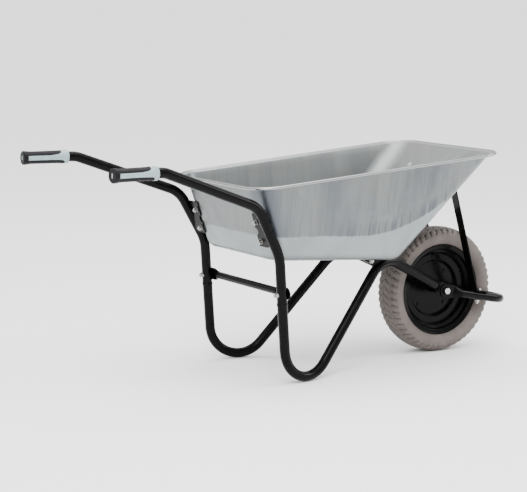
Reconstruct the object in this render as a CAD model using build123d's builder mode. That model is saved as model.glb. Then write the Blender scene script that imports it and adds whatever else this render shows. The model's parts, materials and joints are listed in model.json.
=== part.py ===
from build123d import *
import math
import os

os.makedirs("parts", exist_ok=True)

# Single-wheel barrow with a pressed tray: sizes in millimetres, +X to the wheel, +Y left, +Z up,
# origin on the ground in the middle of the overall length and width.

# ---- overall reach: all lengths marked "behind" are measured back from the axle ----
rim_flange_radius = 145.0
tyre_height = 55.0          # tyre above the rim flange
wheel_radius = rim_flange_radius + tyre_height   # and so the height of the axle
grip_end_behind = 1303.0    # rear face of the grips
nose_ahead = 264.0          # front of the hoop
axle_x = (grip_end_behind - nose_ahead) / 2
axle_z = wheel_radius

# ---- frame tubes ----
tube_radius = 15.0
tube_wall = 1.5
hoop_radius = 14.0
hoop_wall = 1.5
brace_radius = 11.0
brace_wall = 1.5
plate = 4.0                 # brackets, stays and flattened tube ends

# ---- tray ----
sheet = 1.6                 # tray sheet, measured level through the walls
floor_sheet = 1.5
floor_rear_behind = 742.0
floor_front_behind = 272.0
floor_rear_z = 365.0
floor_front_z = 336.0
floor_half_width = 206.0
floor_corner = 66.0
bottom_round = 33.0
rim_rear_behind = 829.0
rim_front_ahead = 63.5
rim_rear_z = 580.0
rim_front_z = 654.0
rim_rear_half = 262.0
rim_front_half = 274.0
rim_corner = 84.0
rim_bead_radius = 4.5
lip_width = 21.0            # level lip between the wall and the outside of the bead
wall_corner = rim_corner - 0.8 * lip_width

# ---- handle line, one side (behind the axle, out from the middle, height) ----
handle_z = 647.0
first_bend_behind = 1137.0
upper_bend_behind = 809.0
upper_bend_z = 529.0
knee_behind = 727.0
knee_z = 378.0
knee_out = floor_half_width + 8.5
upper_bend_out = knee_out + 13.5
first_bend_out = upper_bend_out + 43.0
grip_out = first_bend_out + 15.0
first_bend_radius = 75.0
upper_bend_radius = 90.0
knee_radius = 120.0

# ---- leg and front line ----
joint_z = 240.0             # where the lower tube plugs into the upper one
plug_length = 52.0
plug_clearance = 0.05
foot_corner_behind = 689.0  # where the two straight runs of the leg would cross, below ground
foot_corner_depth = 122.0
front_bend_behind = 291.0
front_bend_out = 120.0
front_bend_radius = 95.0
front_rest_gap = 0.6        # tray floor above the top of the front bend
crimp_behind = 50.0         # end of the round tube before the axle
crimp_out = 68.0
front_run_slope = 0.488     # rise of the front run for each unit back from the axle
flat_behind = 24.0

# ---- axle stack, outwards from the middle ----
axle_radius = 6.0
hub_half = 46.0
bush_flange = 1.5
spacer_start = 48.0
tongue_inner = 55.0
washer_thickness = 2.0
washer_radius = 12.0
axle_head = 8.0
axle_nut = 10.0
axle_flats = 19.0
axle_end = 3.0
hub_radius = 14.0
hub_wall = 2.0
running_gap = 0.05

# ---- rim and tyre (axial place, radius), seen from the right-hand side ----
rim_sheet = 2.0
rim_flange_half = 33.5
bead_seat = rim_flange_radius - 15
well_radius = bead_seat - 12
ring_outer = well_radius - 6
ring_inner = ring_outer - 20
disc_place = 12.0
disc_radius = ring_inner - 6
right_well = (-12.0, -18.0) # the well's side, where it leaves the ring and where it meets the bead seat
left_well = (18.5, 23.0)
seat_width = 5.5            # bead seat in from the flange
flange_curl = 3.0
rivet_circle = disc_radius - 14
rivet_head = 2.5
bush_length = 24.0
tyre_half = 48.0
shoulder_drop = 9.0
rivet_count = 4
rivet_radius = 4.0
valve_angle = 93.0
valve_radius = 5.5
valve_head = 2.0

# ---- hoop, stays and brace ----
hoop_fall = 11.0            # degrees, down towards the nose
hoop_half = 74.0
hoop_flat_reach = 31.0
hoop_crimp_reach = 52.0
end_width = 42.0            # height of the flattened tube ends
stay_width = 30.0
stay_bolt_ahead = 121.0
stay_foot_ahead = 149.0
stay_rise_ahead = 103.0
stay_top_height = 236.0     # above the front edge of the tray floor
stay_tab = 42.0
stay_splay = 42.0
stay_bend = 2.0             # inside radius of its two bends
brace_z = 270.0
brace_flat_width = 36.0
brace_flat_in = 26.0
brace_crimp_in = 48.0

# ---- brackets ----
rear_bracket_low = 420.0
rear_bracket_high = 504.0
rear_bracket_inner = knee_out - 57.5
rear_bracket_corner = 12.0  # cut off the lower outer corner
rear_bracket_scallop = 11.0 # half-round notch between the two bolts
rear_bolt_out = knee_out - 42.5
rear_bolt_heights = (424.0, 480.0)
front_bracket_behind = (385.0, 290.0)
front_bracket_out = (84.0, 165.0)
front_bolts = ((352.0, 146.0), (312.0, 97.0))
gusset_out = 128.0
gusset_nose = (40.0, 20.0)   # ahead of the bracket's rear edge, and below it
gusset_toe = (62.0, 46.0)    # ahead of the rear edge, and below the tube's corner
gusset_heel = 34.0           # below the tube's corner, at the bracket's front edge
bracket_corner = 8.0

# ---- grips ----
grip_length = 140.0
grip_wall = 3.6
grip_end_radius = tube_radius + grip_wall + 1.9
grip_waist_radius = tube_radius + grip_wall
grip_collar_radius = tube_radius + grip_wall + 1.4
grip_end_wall = 8.0
core_wall = 1.6
stripe_half = 6.6
core_slot = (14.0, 5.0)      # height and width of the pale slot that shows in the rear face
stripe_start = 14.0         # from the rear face
stripe_flare = 58.0         # back from the front face, where the stripe starts to widen
collar_top = 21.0           # collar length over the tube
collar_under = 11.0         # and under it

# ---- fasteners ----
bolt_radius = 4.0           # M8 everywhere but the axle
bolt_gap = 0.05
nut_height = 6.5
nut_flats = 13.0
small_washer = 1.6
small_washer_radius = 8.0
bolt_spare = 4.0            # thread showing past a nut
dome_radius = 9.5
dome_height = 3.6
hex_head = 5.5

SIDES = (("right", -1), ("left", 1))


# ---------------------------------------------------------------- geometry helpers
def at(behind, out, z, side=1):
    """A point given by its distance behind the axle, out from the middle, and height."""
    return Vector(axle_x - behind, side * out, z)


def corner_arc(before, corner, after, radius):
    """Start, middle and end of the arc that rounds a corner of a bent tube."""
    back = (before - corner).normalized()
    ahead = (after - corner).normalized()
    half = math.radians(back.get_angle(ahead)) / 2
    reach = radius / math.tan(half)
    inward = (back + ahead).normalized()
    return corner + back * reach, corner + inward * (radius / math.sin(half) - radius), corner + ahead * reach


def bend_drop(before, corner, after, radius):
    """How far the arc's highest or lowest point lies inside its corner, in height."""
    back = (before - corner).normalized()
    ahead = (after - corner).normalized()
    half = math.radians(back.get_angle(ahead)) / 2
    inward = (back + ahead).normalized()
    tilt = back.cross(ahead).normalized().Z
    return radius * (abs(inward.Z) / math.sin(half) - math.sqrt(1 - tilt * tilt))


def draw_bends(points, radii):
    """Straight runs joined by tangent arcs, drawn into the open BuildLine."""
    here = points[0]
    for before, corner, after, radius in zip(points, points[1:], points[2:], radii):
        start, middle, end = corner_arc(before, corner, after, radius)
        Line(here, start)
        ThreePointArc(start, middle, end)
        here = end
    Line(here, points[-1])


def pipe(points, radii, outer, inner=0.0):
    """A bent tube, or a bent bar when inner is 0."""
    with BuildPart() as bent:
        with BuildLine() as path:
            draw_bends(points, radii)
        with BuildSketch(Plane(origin=points[0], z_dir=points[1] - points[0])):
            Circle(outer)
            if inner:
                Circle(inner, mode=Mode.SUBTRACT)
        sweep(path=path.wire())
    return bent.part


def sheet_outline(points, thickness):
    """Closed outline of a bent sheet: the points, then the same line moved left by its thickness."""
    moved = []
    for i, (x, y) in enumerate(points):
        steps = []
        if i > 0:
            steps.append((x - points[i - 1][0], y - points[i - 1][1]))
        if i < len(points) - 1:
            steps.append((points[i + 1][0] - x, points[i + 1][1] - y))
        normals = [(-dy / math.hypot(dx, dy), dx / math.hypot(dx, dy)) for dx, dy in steps]
        nx = sum(n[0] for n in normals)
        ny = sum(n[1] for n in normals)
        scale = thickness * len(normals) / (nx * nx + ny * ny)
        moved.append((x + nx * scale, y + ny * scale))
    return moved


def slope_plane(rear, front):
    """A plane through two points of the middle plane, X from rear to front, Z up."""
    along = (front - rear).normalized()
    return Plane(origin=rear, x_dir=along, z_dir=along.cross(Vector(0, 1, 0)))


# ---------------------------------------------------------------- tray planes
floor_rear = at(floor_rear_behind, 0, floor_rear_z)
floor_front = at(floor_front_behind, 0, floor_front_z)
rim_rear = at(rim_rear_behind, 0, rim_rear_z)
rim_front = at(-rim_front_ahead, 0, rim_front_z)
floor_plane = slope_plane(floor_rear, floor_front)
rim_plane = slope_plane(rim_rear, rim_front)
floor_length = (floor_front - floor_rear).length
rim_length = (rim_front - rim_rear).length
top_rear = rim_plane.from_local_coords(Vector(lip_width, 0, 0))
top_front = rim_plane.from_local_coords(Vector(rim_length - lip_width, 0, 0))


def wall_plane(foot, top, outward):
    """Outer face of an end wall: local Y climbs the wall, local Z points out of the tray."""
    climb = (top - foot).normalized()
    normal = Vector(climb.Z, 0, -climb.X) * outward
    return Plane(origin=foot, x_dir=climb.cross(normal), z_dir=normal)


rear_wall = wall_plane(floor_rear, top_rear, -1)
front_wall = wall_plane(floor_front, top_front, 1)
floor_under = Plane(origin=floor_rear, x_dir=floor_plane.x_dir, z_dir=-floor_plane.z_dir)


# ---------------------------------------------------------------- frame line points
grip_end = [at(grip_end_behind - grip_end_wall, grip_out, handle_z, s) for _, s in SIDES]
first_bend = [at(first_bend_behind, first_bend_out, handle_z, s) for _, s in SIDES]
upper_bend = [at(upper_bend_behind, upper_bend_out, upper_bend_z, s) for _, s in SIDES]
knee = [at(knee_behind, knee_out, knee_z, s) for _, s in SIDES]
foot_corner = [at(foot_corner_behind, knee_out, -foot_corner_depth, s) for _, s in SIDES]
crimp = [at(crimp_behind, crimp_out, axle_z + front_run_slope * crimp_behind, s) for _, s in SIDES]


def leg_point(height, i):
    """The point of the straight leg line at a height."""
    share = (knee_z - height) / (knee_z + foot_corner_depth)
    return knee[i] + (foot_corner[i] - knee[i]) * share


def settle_front_bend(i):
    """Height of the front corner that rests the bend under the tray floor."""
    side = SIDES[i][1]
    rest = floor_front_z - tube_radius - front_rest_gap
    z = rest
    for _ in range(30):
        corner = at(front_bend_behind, front_bend_out, z, side)
        z = rest + bend_drop(foot_corner[i], corner, crimp[i], front_bend_radius)
    return at(front_bend_behind, front_bend_out, z, side)


front_bend = [settle_front_bend(i) for i in range(2)]


def foot_radius(i):
    """Bend radius that puts the underside of the leg on the ground."""
    unit_drop = bend_drop(leg_point(joint_z, i), foot_corner[i], front_bend[i], 1.0)
    return (tube_radius + foot_corner_depth) / unit_drop


def upper_line(i):
    return [grip_end[i], first_bend[i], upper_bend[i], knee[i], leg_point(joint_z, i)]


def lower_line(i):
    return [leg_point(joint_z, i), foot_corner[i], front_bend[i], crimp[i]]


UPPER_RADII = (first_bend_radius, upper_bend_radius, knee_radius)


def lower_radii(i):
    return (foot_radius(i), front_bend_radius)


leg_direction = (foot_corner[0] - knee[0]).normalized()
leg_front = Vector(-leg_direction.Z, 0, leg_direction.X)
hoop_angle = math.radians(hoop_fall)
hoop_along = Vector(math.cos(hoop_angle), 0, -math.sin(hoop_angle))
hoop_up = Vector(math.sin(hoop_angle), 0, math.cos(hoop_angle))
axle_point = Vector(axle_x, 0, axle_z)
hoop_plane = Plane(origin=axle_point, x_dir=hoop_along, z_dir=hoop_up)
wheel_plane = Plane(origin=axle_point, x_dir=(0, 1, 0), z_dir=(1, 0, 0))
wheel_axis = Axis(axle_point, (0, 1, 0))
tongue_middle = tongue_inner + plate / 2
hoop_flat_middle = tongue_middle + plate
stack_face = hoop_flat_middle + plate / 2


# ---------------------------------------------------------------- fastener sites
def tray_sites():
    """Planes on the outer face of each bracket or tab, Z pointing out of the tray."""
    sites = []
    climb = rear_wall.y_dir.Z
    for _, side in SIDES:
        for height in rear_bolt_heights:
            up = (height - floor_rear_z) / climb
            sites.append(site_on(rear_wall, side * rear_bolt_out, up))
        for behind, out in front_bolts:
            along = (floor_rear_behind - behind) / floor_plane.x_dir.X
            sites.append(site_on(floor_under, side * out, along))
        sites.append(site_on(front_wall, side * stay_top_out, stay_bolt_up))
    return sites


def site_on(wall, out, along):
    """A plane on the far side of a plate that lies on the wall."""
    centre = wall.origin + Vector(0, out, 0) + climb_of(wall) * along
    return Plane(origin=centre + wall.z_dir * plate, z_dir=wall.z_dir)


def climb_of(wall):
    return wall.x_dir if wall is floor_under else wall.y_dir


def wall_thickness(direction):
    """Sheet thickness along a direction out of the tray."""
    return floor_sheet if direction.Z < -0.9 else sheet * abs(direction.X)


def head_plane(place):
    """Plane of a tray bolt's head, on the inside of the sheet."""
    return place.offset(-plate - wall_thickness(place.z_dir))


stay_climb = front_wall.y_dir
stay_top_out = hoop_half + stay_splay
stay_bolt_up = (stay_top_height + stay_tab / 2 * stay_climb.Z) / stay_climb.Z
TRAY_SITES = tray_sites()


# ---------------------------------------------------------------- tray
def tray_outline(plane, length, rear_half, front_half, corner, inset=0.0):
    """Rounded outline, a little wider at the front."""
    with BuildSketch(plane) as outline:
        with BuildLine():
            Polyline(
                (inset, inset - rear_half),
                (length - inset, inset - front_half),
                (length - inset, front_half - inset),
                (inset, rear_half - inset),
                close=True,
            )
        make_face()
        fillet(outline.vertices(), corner)
    return outline.sketch


def tray_body(inset, floor_lift):
    """The solid between the floor and the rim plane, moved in by the inset."""
    with BuildPart() as body:
        add(tray_outline(floor_plane, floor_length, floor_half_width, floor_half_width,
                         floor_corner - inset, inset))
        add(tray_outline(rim_plane, rim_length, rim_rear_half, rim_front_half, wall_corner - inset,
                         lip_width + inset))
        loft(ruled=True)
        if floor_lift:
            split(bisect_by=floor_plane.offset(floor_lift), keep=Keep.TOP)
        lowest = body.faces().filter_by(lambda f: abs(f.normal_at().Z + floor_plane.z_dir.Z) < 1e-3)[0]
        fillet(lowest.edges(), bottom_round - floor_lift)
    return body.part


with BuildPart() as tray:
    add(tray_body(0.0, 0.0))
    with BuildSketch(rim_plane.offset(-floor_sheet / 2)):
        add(tray_outline(Plane.XY, rim_length, rim_rear_half, rim_front_half, rim_corner, rim_bead_radius))
    extrude(amount=floor_sheet)
    with BuildLine() as bead_line:
        edge = rim_bead_radius
        corners = (
            (edge, edge - rim_rear_half),
            (rim_length - edge, edge - rim_front_half),
            (rim_length - edge, rim_front_half - edge),
            (edge, rim_rear_half - edge),
        )
        FilletPolyline(*[rim_plane.from_local_coords(Vector(x, y, 0)) for x, y in corners],
                       radius=rim_corner, close=True)
    with BuildSketch(Plane(origin=bead_line.wire() @ 0, z_dir=bead_line.wire() % 0)):
        Circle(rim_bead_radius)
    sweep(path=bead_line.wire())
    add(tray_body(sheet, floor_sheet), mode=Mode.SUBTRACT)
    with BuildSketch(rim_plane):
        add(tray_outline(Plane.XY, rim_length, rim_rear_half, rim_front_half,
                         wall_corner - sheet, lip_width + sheet))
    extrude(amount=floor_sheet, mode=Mode.SUBTRACT)
    with Locations(*TRAY_SITES):
        Cylinder(bolt_radius + bolt_gap, 4 * plate, mode=Mode.SUBTRACT)
    for place in TRAY_SITES:
        with Locations(head_plane(place)):
            Cylinder(dome_radius + bolt_gap, 3 * dome_height, align=(Align.CENTER, Align.CENTER, Align.MAX),
                     mode=Mode.SUBTRACT)
tray.part.label = "tray"
export_step(tray.part, "parts/tray.step")


# ---------------------------------------------------------------- frame tubes
def flat_end(round_plane, flat_plane, radius, width):
    """The squashed length of a tube, from round to flat."""
    with BuildPart() as squashed:
        with BuildSketch(round_plane):
            Circle(radius)
        with BuildSketch(flat_plane):
            Ellipse(width / 2, plate / 2)
        loft()
    return squashed.part


def tongue(side_plane, start, width):
    """The flat end itself: from its start to a round end about the origin of its plane."""
    with BuildPart() as flat:
        with BuildSketch(side_plane):
            with Locations((start / 2, 0)):
                Rectangle(abs(start), width)
            Circle(width / 2)
        extrude(amount=plate / 2, both=True)
    return flat.part


def bar(base, length, radius, mode=Mode.ADD):
    """A round bar or hole that starts on a plane and runs along its Z."""
    with Locations(base):
        Cylinder(radius, length, align=(Align.CENTER, Align.CENTER, Align.MIN), mode=mode)


leg_outsides = []
handle_outsides = []
brace_holes = []
for i, (side_name, side) in enumerate(SIDES):
    brace_holes.append(Plane(origin=leg_point(brace_z, i) - leg_front * 2 * tube_radius, z_dir=leg_front))
    handle_outsides.append(pipe(upper_line(i), UPPER_RADII, tube_radius))
    with BuildPart() as handle_tube:
        add(pipe(upper_line(i), UPPER_RADII, tube_radius, tube_radius - tube_wall))
        bar(brace_holes[i], 4 * tube_radius, bolt_radius + bolt_gap, mode=Mode.SUBTRACT)
    handle_tube.part.label = "handle_tube_" + side_name
    export_step(handle_tube.part, f"parts/handle_tube_{side_name}.step")

    plug_radius = tube_radius - tube_wall - plug_clearance
    joint = leg_point(joint_z, i)
    line = lower_line(i)
    arrive = (line[-1] - line[-2]).normalized()
    flat_line = Vector(arrive.X, 0, arrive.Z).normalized()
    flat_reach = flat_behind / flat_line.X
    flat_start = axle_point + Vector(0, side * tongue_middle, 0) - flat_line * flat_reach
    upright = Vector(0, side, 0).cross(flat_line) * side
    round_plane = Plane(origin=line[-1], x_dir=upright - arrive * upright.dot(arrive), z_dir=arrive)
    flat_plane = Plane(origin=flat_start, x_dir=upright, z_dir=flat_line)
    tongue_eye = axle_point + Vector(0, side * tongue_middle, 0)
    side_plane = Plane(origin=tongue_eye, x_dir=flat_line, z_dir=(0, -1, 0))
    leg_outsides.append(pipe(line, lower_radii(i), tube_radius))
    with BuildPart() as leg_tube:
        add(pipe(line, lower_radii(i), tube_radius, tube_radius - tube_wall))
        with BuildSketch(Plane(origin=joint, z_dir=-leg_direction)):
            Circle(plug_radius)
            Circle(plug_radius - tube_wall, mode=Mode.SUBTRACT)
        extrude(amount=plug_length)
        with BuildSketch(Plane(origin=joint, z_dir=leg_direction)):
            Circle(tube_radius)
            Circle(plug_radius - tube_wall, mode=Mode.SUBTRACT)
        extrude(amount=2 * tube_wall)
        add(flat_end(round_plane, flat_plane, tube_radius, end_width))
        add(tongue(side_plane, -flat_reach, end_width))
        bar(brace_holes[i], 4 * tube_radius, bolt_radius + bolt_gap, mode=Mode.SUBTRACT)
        bar(Plane(origin=axle_point, z_dir=(0, side, 0)), 100, axle_radius + bolt_gap, mode=Mode.SUBTRACT)
    leg_tube.part.label = "leg_tube_" + side_name
    export_step(leg_tube.part, f"parts/leg_tube_{side_name}.step")


# ---------------------------------------------------------------- nose hoop
nose_line = (nose_ahead - hoop_radius) / hoop_along.X
bend_centre = nose_line - hoop_half


def stay_hole_centre(side):
    """Middle of the hoop tube where a stay's bolt goes through."""
    return axle_point + hoop_along * (stay_bolt_ahead / hoop_along.X) + Vector(0, side * hoop_half, 0)


with BuildPart() as nose_hoop:
    with BuildLine(hoop_plane) as hoop_path:
        Line((hoop_crimp_reach, -hoop_half), (bend_centre, -hoop_half))
        ThreePointArc((bend_centre, -hoop_half), (nose_line, 0), (bend_centre, hoop_half))
        Line((bend_centre, hoop_half), (hoop_crimp_reach, hoop_half))
    with BuildSketch(Plane(origin=hoop_path.wire() @ 0, z_dir=hoop_along)):
        Circle(hoop_radius)
        Circle(hoop_radius - hoop_wall, mode=Mode.SUBTRACT)
    sweep(path=hoop_path.wire())
    for _, side in SIDES:
        crimp_point = axle_point + hoop_along * hoop_crimp_reach + Vector(0, side * hoop_half, 0)
        flat_point = axle_point + hoop_along * hoop_flat_reach + Vector(0, side * hoop_flat_middle, 0)
        add(flat_end(Plane(origin=crimp_point, x_dir=hoop_up, z_dir=-hoop_along),
                     Plane(origin=flat_point, x_dir=hoop_up, z_dir=-hoop_along), hoop_radius, end_width))
        hoop_eye = axle_point + Vector(0, side * hoop_flat_middle, 0)
        add(tongue(Plane(origin=hoop_eye, x_dir=hoop_along, z_dir=(0, -1, 0)), hoop_flat_reach, end_width))
        hole = stay_hole_centre(side) - hoop_up * 2 * hoop_radius
        bar(Plane(origin=hole, z_dir=hoop_up), 4 * hoop_radius, bolt_radius + bolt_gap, mode=Mode.SUBTRACT)
        bar(Plane(origin=axle_point, z_dir=(0, side, 0)), 100, axle_radius + bolt_gap, mode=Mode.SUBTRACT)
nose_hoop.part.label = "nose_hoop"
export_step(nose_hoop.part, "parts/nose_hoop.step")


# ---------------------------------------------------------------- cross brace
brace_axis = leg_point(brace_z, 0) + leg_front * (tube_radius + plate / 2)
brace_up = -leg_direction
with BuildPart() as cross_brace:
    tube_half = knee_out - brace_crimp_in
    brace_start = Vector(brace_axis.X, -tube_half, brace_axis.Z)
    with BuildSketch(Plane(origin=brace_start, x_dir=brace_up, z_dir=(0, 1, 0))):
        Circle(brace_radius)
        Circle(brace_radius - brace_wall, mode=Mode.SUBTRACT)
    extrude(amount=2 * tube_half)
    for i, (_, side) in enumerate(SIDES):
        inward = Vector(0, -side, 0)
        crimp_at = Vector(brace_axis.X, side * (knee_out - brace_crimp_in), brace_axis.Z)
        flat_at = Vector(brace_axis.X, side * (knee_out - brace_flat_in), brace_axis.Z)
        add(flat_end(Plane(origin=crimp_at, x_dir=brace_up, z_dir=-inward),
                     Plane(origin=flat_at, x_dir=brace_up, z_dir=-inward), brace_radius, brace_flat_width))
        add(tongue(Plane(origin=Vector(brace_axis.X, side * knee_out, brace_axis.Z), x_dir=inward,
                         z_dir=leg_front), brace_flat_in, brace_flat_width))
        bar(brace_holes[i], 5 * tube_radius, bolt_radius + bolt_gap, mode=Mode.SUBTRACT)
cross_brace.part.label = "cross_brace"
export_step(cross_brace.part, "parts/cross_brace.step")


# ---------------------------------------------------------------- brackets under and behind the tray
def up_the_wall(wall, height):
    return (height - wall.origin.Z) / wall.y_dir.Z


for i, (side_name, side) in enumerate(SIDES):
    with BuildPart() as rear_bracket:
        low = up_the_wall(rear_wall, rear_bracket_low - rear_bracket_corner)
        high = up_the_wall(rear_wall, rear_bracket_high)
        with BuildSketch(rear_wall):
            with BuildLine():
                Polyline(
                    (-side * rear_bracket_inner, low),
                    (-side * (knee_out - tube_radius), low),
                    (-side * knee_out, low + rear_bracket_corner),
                    (-side * knee_out, high),
                    (-side * rear_bracket_inner, high),
                    close=True,
                )
            make_face()
            scallop = up_the_wall(rear_wall, sum(rear_bolt_heights) / 2)
            with Locations((-side * rear_bracket_inner, scallop)):
                Circle(rear_bracket_scallop, mode=Mode.SUBTRACT)
        extrude(amount=plate)
        add(handle_outsides[i], mode=Mode.SUBTRACT)
        with Locations(*TRAY_SITES):
            Cylinder(bolt_radius + bolt_gap, 3 * plate, mode=Mode.SUBTRACT)
    rear_bracket.part.label = "rear_bracket_" + side_name
    export_step(rear_bracket.part, f"parts/rear_bracket_{side_name}.step")

    with BuildPart() as front_bracket:
        rear_edge, front_edge = [
            (floor_rear_behind - behind) / floor_plane.x_dir.X for behind in front_bracket_behind
        ]
        inner, outer = front_bracket_out
        with BuildSketch(floor_under):
            with Locations(((rear_edge + front_edge) / 2, -side * (inner + outer) / 2)):
                RectangleRounded(front_edge - rear_edge, outer - inner, bracket_corner)
        extrude(amount=plate)
        gusset_middle = Vector(0, side * gusset_out, 0)
        with BuildSketch(Plane(origin=gusset_middle, x_dir=(1, 0, 0), z_dir=(0, -1, 0))):
            drop = floor_plane.x_dir.Z / floor_plane.x_dir.X
            web_rear, web_front = [axle_x - behind for behind in front_bracket_behind]
            web_top = [
                floor_rear_z + (floor_rear_behind - behind) * drop - plate / 2
                for behind in front_bracket_behind
            ]
            with BuildLine():
                Polyline(
                    (web_rear, web_top[0]),
                    (web_rear + gusset_nose[0], web_top[0] - gusset_nose[1]),
                    (web_rear + gusset_toe[0], front_bend[i].Z - gusset_toe[1]),
                    (web_front, front_bend[i].Z - gusset_heel),
                    (web_front, web_top[1]),
                    close=True,
                )
            make_face()
        extrude(amount=plate / 2, both=True)
        add(leg_outsides[i], mode=Mode.SUBTRACT)
        with Locations(*TRAY_SITES):
            Cylinder(bolt_radius + bolt_gap, 3 * plate, mode=Mode.SUBTRACT)
    front_bracket.part.label = "front_bracket_" + side_name
    export_step(front_bracket.part, f"parts/front_bracket_{side_name}.step")


# ---------------------------------------------------------------- stays
def stay_profile():
    """Bent strip in the middle plane: foot on the hoop, rise, tab on the front wall."""
    foot_face = axle_point + hoop_up * hoop_radius
    tip = foot_face + hoop_along * (stay_foot_ahead / hoop_along.X)
    heel = foot_face + hoop_along * (stay_rise_ahead / hoop_along.X)
    tab_low = front_wall.origin + stay_climb * (stay_top_height / stay_climb.Z)
    tab_high = tab_low + stay_climb * stay_tab
    points = [(p.X, p.Z) for p in (tip, heel, tab_low, tab_high)]
    return points, sheet_outline(points, -plate)


for side_name, side in SIDES:
    line, moved = stay_profile()
    with BuildPart() as stay:
        with BuildSketch(Plane.XZ) as strip:
            with BuildLine():
                Polyline(*line, *reversed(moved), close=True)
            make_face()
            inside_bends = strip.vertices().filter_by(
                lambda v: any(math.dist((v.X, v.Z), p) < 0.01 for p in (line[1], line[2]))
            )
            fillet(inside_bends, stay_bend)
        extrude(amount=2 * rim_front_half, both=True)
        foot_z = line[1][1]
        with BuildSketch(Plane.YZ):
            with BuildLine():
                inner = side * (hoop_half - stay_width / 2)
                outer = side * (hoop_half + stay_width / 2)
                lean = side * stay_splay
                Polyline(
                    (inner, 0),
                    (outer, 0),
                    (outer, foot_z + 2 * plate),
                    (outer + lean, line[2][1]),
                    (outer + lean, line[3][1] + 10),
                    (inner + lean, line[3][1] + 10),
                    (inner + lean, line[2][1]),
                    (inner, foot_z + 2 * plate),
                    close=True,
                )
            make_face()
        extrude(amount=4 * axle_x, both=True, mode=Mode.INTERSECT)
        bar(Plane(origin=stay_hole_centre(side), z_dir=hoop_up), 3 * hoop_radius, bolt_radius + bolt_gap,
            mode=Mode.SUBTRACT)
        with Locations(*TRAY_SITES):
            Cylinder(bolt_radius + bolt_gap, 3 * plate, mode=Mode.SUBTRACT)
    stay.part.label = "stay_" + side_name
    export_step(stay.part, f"parts/stay_{side_name}.step")


# ---------------------------------------------------------------- grips
def grip_profile():
    """Half outline of the whole grip, along its axis from the rear face."""
    return (
        (0, 0),
        (0, grip_end_radius - 2),
        (2, grip_end_radius),
        (7, grip_end_radius),
        (24, grip_waist_radius),
        (grip_length - 34, grip_waist_radius + 0.4),
        (grip_length - 16, grip_collar_radius),
        (grip_length - 1, grip_collar_radius),
        (grip_length, grip_collar_radius - 1),
        (grip_length, tube_radius),
        (grip_end_wall, tube_radius),
        (grip_end_wall, 0),
    )


def grip_core_shape(side_view):
    """The pale inner part of the grip: sleeve, end slot, two side stripes and the front collar."""
    axis = Axis(side_view.origin, side_view.x_dir)
    with BuildPart() as core:
        with BuildSketch(side_view):
            with BuildLine():
                Polyline(
                    (stripe_start, -stripe_half),
                    (stripe_start, stripe_half),
                    (grip_length - stripe_flare, stripe_half),
                    (grip_length - 0.6 * stripe_flare, 1.4 * stripe_half),
                    (grip_length - collar_top - 4, 2 * stripe_half),
                    (grip_length - collar_top, 1.2 * grip_end_radius),
                    (grip_length, 1.2 * grip_end_radius),
                    (grip_length, -1.2 * grip_end_radius),
                    (grip_length - collar_under, -1.2 * grip_end_radius),
                    (grip_length - collar_under - 3, -1.8 * stripe_half),
                    (grip_length - collar_under - 11, -1.2 * stripe_half),
                    (grip_length - stripe_flare, -stripe_half),
                    close=True,
                )
            make_face()
        extrude(amount=2 * grip_end_radius, both=True)
        with BuildSketch(side_view):
            Polygon(*grip_profile(), align=None)
        revolve(axis=axis, mode=Mode.INTERSECT)
        with BuildSketch(side_view):
            with Locations((grip_end_wall / 2, 0)):
                Rectangle(grip_length - grip_end_wall / 2, tube_radius + core_wall,
                          align=(Align.MIN, Align.MIN))
            with Locations((grip_end_wall, 0)):
                Rectangle(grip_length, tube_radius, align=(Align.MIN, Align.MIN), mode=Mode.SUBTRACT)
        revolve(axis=axis)
        end_view = Plane(origin=side_view.origin, x_dir=side_view.y_dir, z_dir=side_view.x_dir)
        with BuildSketch(end_view):
            SlotOverall(*core_slot)
        extrude(amount=grip_end_wall)
    return core.part


for i, (side_name, side) in enumerate(SIDES):
    along = (first_bend[i] - grip_end[i]).normalized()
    rear_face = grip_end[i] - along * grip_end_wall
    side_view = Plane(origin=rear_face, x_dir=along, z_dir=along.cross(Vector(0, 0, 1)))
    core_solid = grip_core_shape(side_view)
    with BuildPart() as grip_core:
        add(core_solid)
    grip_core.part.label = "grip_core_" + side_name
    export_step(grip_core.part, f"parts/grip_core_{side_name}.step")
    with BuildPart() as grip:
        with BuildSketch(side_view):
            Polygon(*grip_profile(), align=None)
        revolve(axis=Axis(rear_face, along))
        add(core_solid, mode=Mode.SUBTRACT)
    grip.part.label = "grip_" + side_name
    export_step(grip.part, f"parts/grip_{side_name}.step")


# ---------------------------------------------------------------- axle
def out_plane(side, out):
    """A plane square to the axle, at a distance from the middle, Z pointing outwards."""
    return Plane(origin=axle_point + Vector(0, side * out, 0), x_dir=(1, 0, 0), z_dir=(0, side, 0))


washer_face = stack_face + washer_thickness
with BuildPart() as axle_bolt:
    with BuildSketch(out_plane(-1, washer_face)):
        RegularPolygon(axle_flats / 2, 6, major_radius=False)
    extrude(amount=axle_head)
    chamfer(axle_bolt.faces().sort_by(Axis.Y)[0].edges(), 0.8)
    bar(out_plane(1, -washer_face), 2 * washer_face + axle_nut + axle_end, axle_radius)
axle_bolt.part.label = "axle_bolt"
export_step(axle_bolt.part, "parts/axle_bolt.step")

with BuildPart() as axle_locknut:
    with BuildSketch(out_plane(1, washer_face)):
        RegularPolygon(axle_flats / 2, 6, major_radius=False)
        Circle(axle_radius, mode=Mode.SUBTRACT)
    extrude(amount=axle_nut)
axle_locknut.part.label = "axle_locknut"
export_step(axle_locknut.part, "parts/axle_locknut.step")

with BuildPart() as axle_washers:
    for _, side in SIDES:
        with BuildSketch(out_plane(side, stack_face)):
            Circle(washer_radius)
            Circle(axle_radius + bolt_gap, mode=Mode.SUBTRACT)
        extrude(amount=washer_thickness)
axle_washers.part.label = "axle_washers"
export_step(axle_washers.part, "parts/axle_washers.step")

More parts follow.
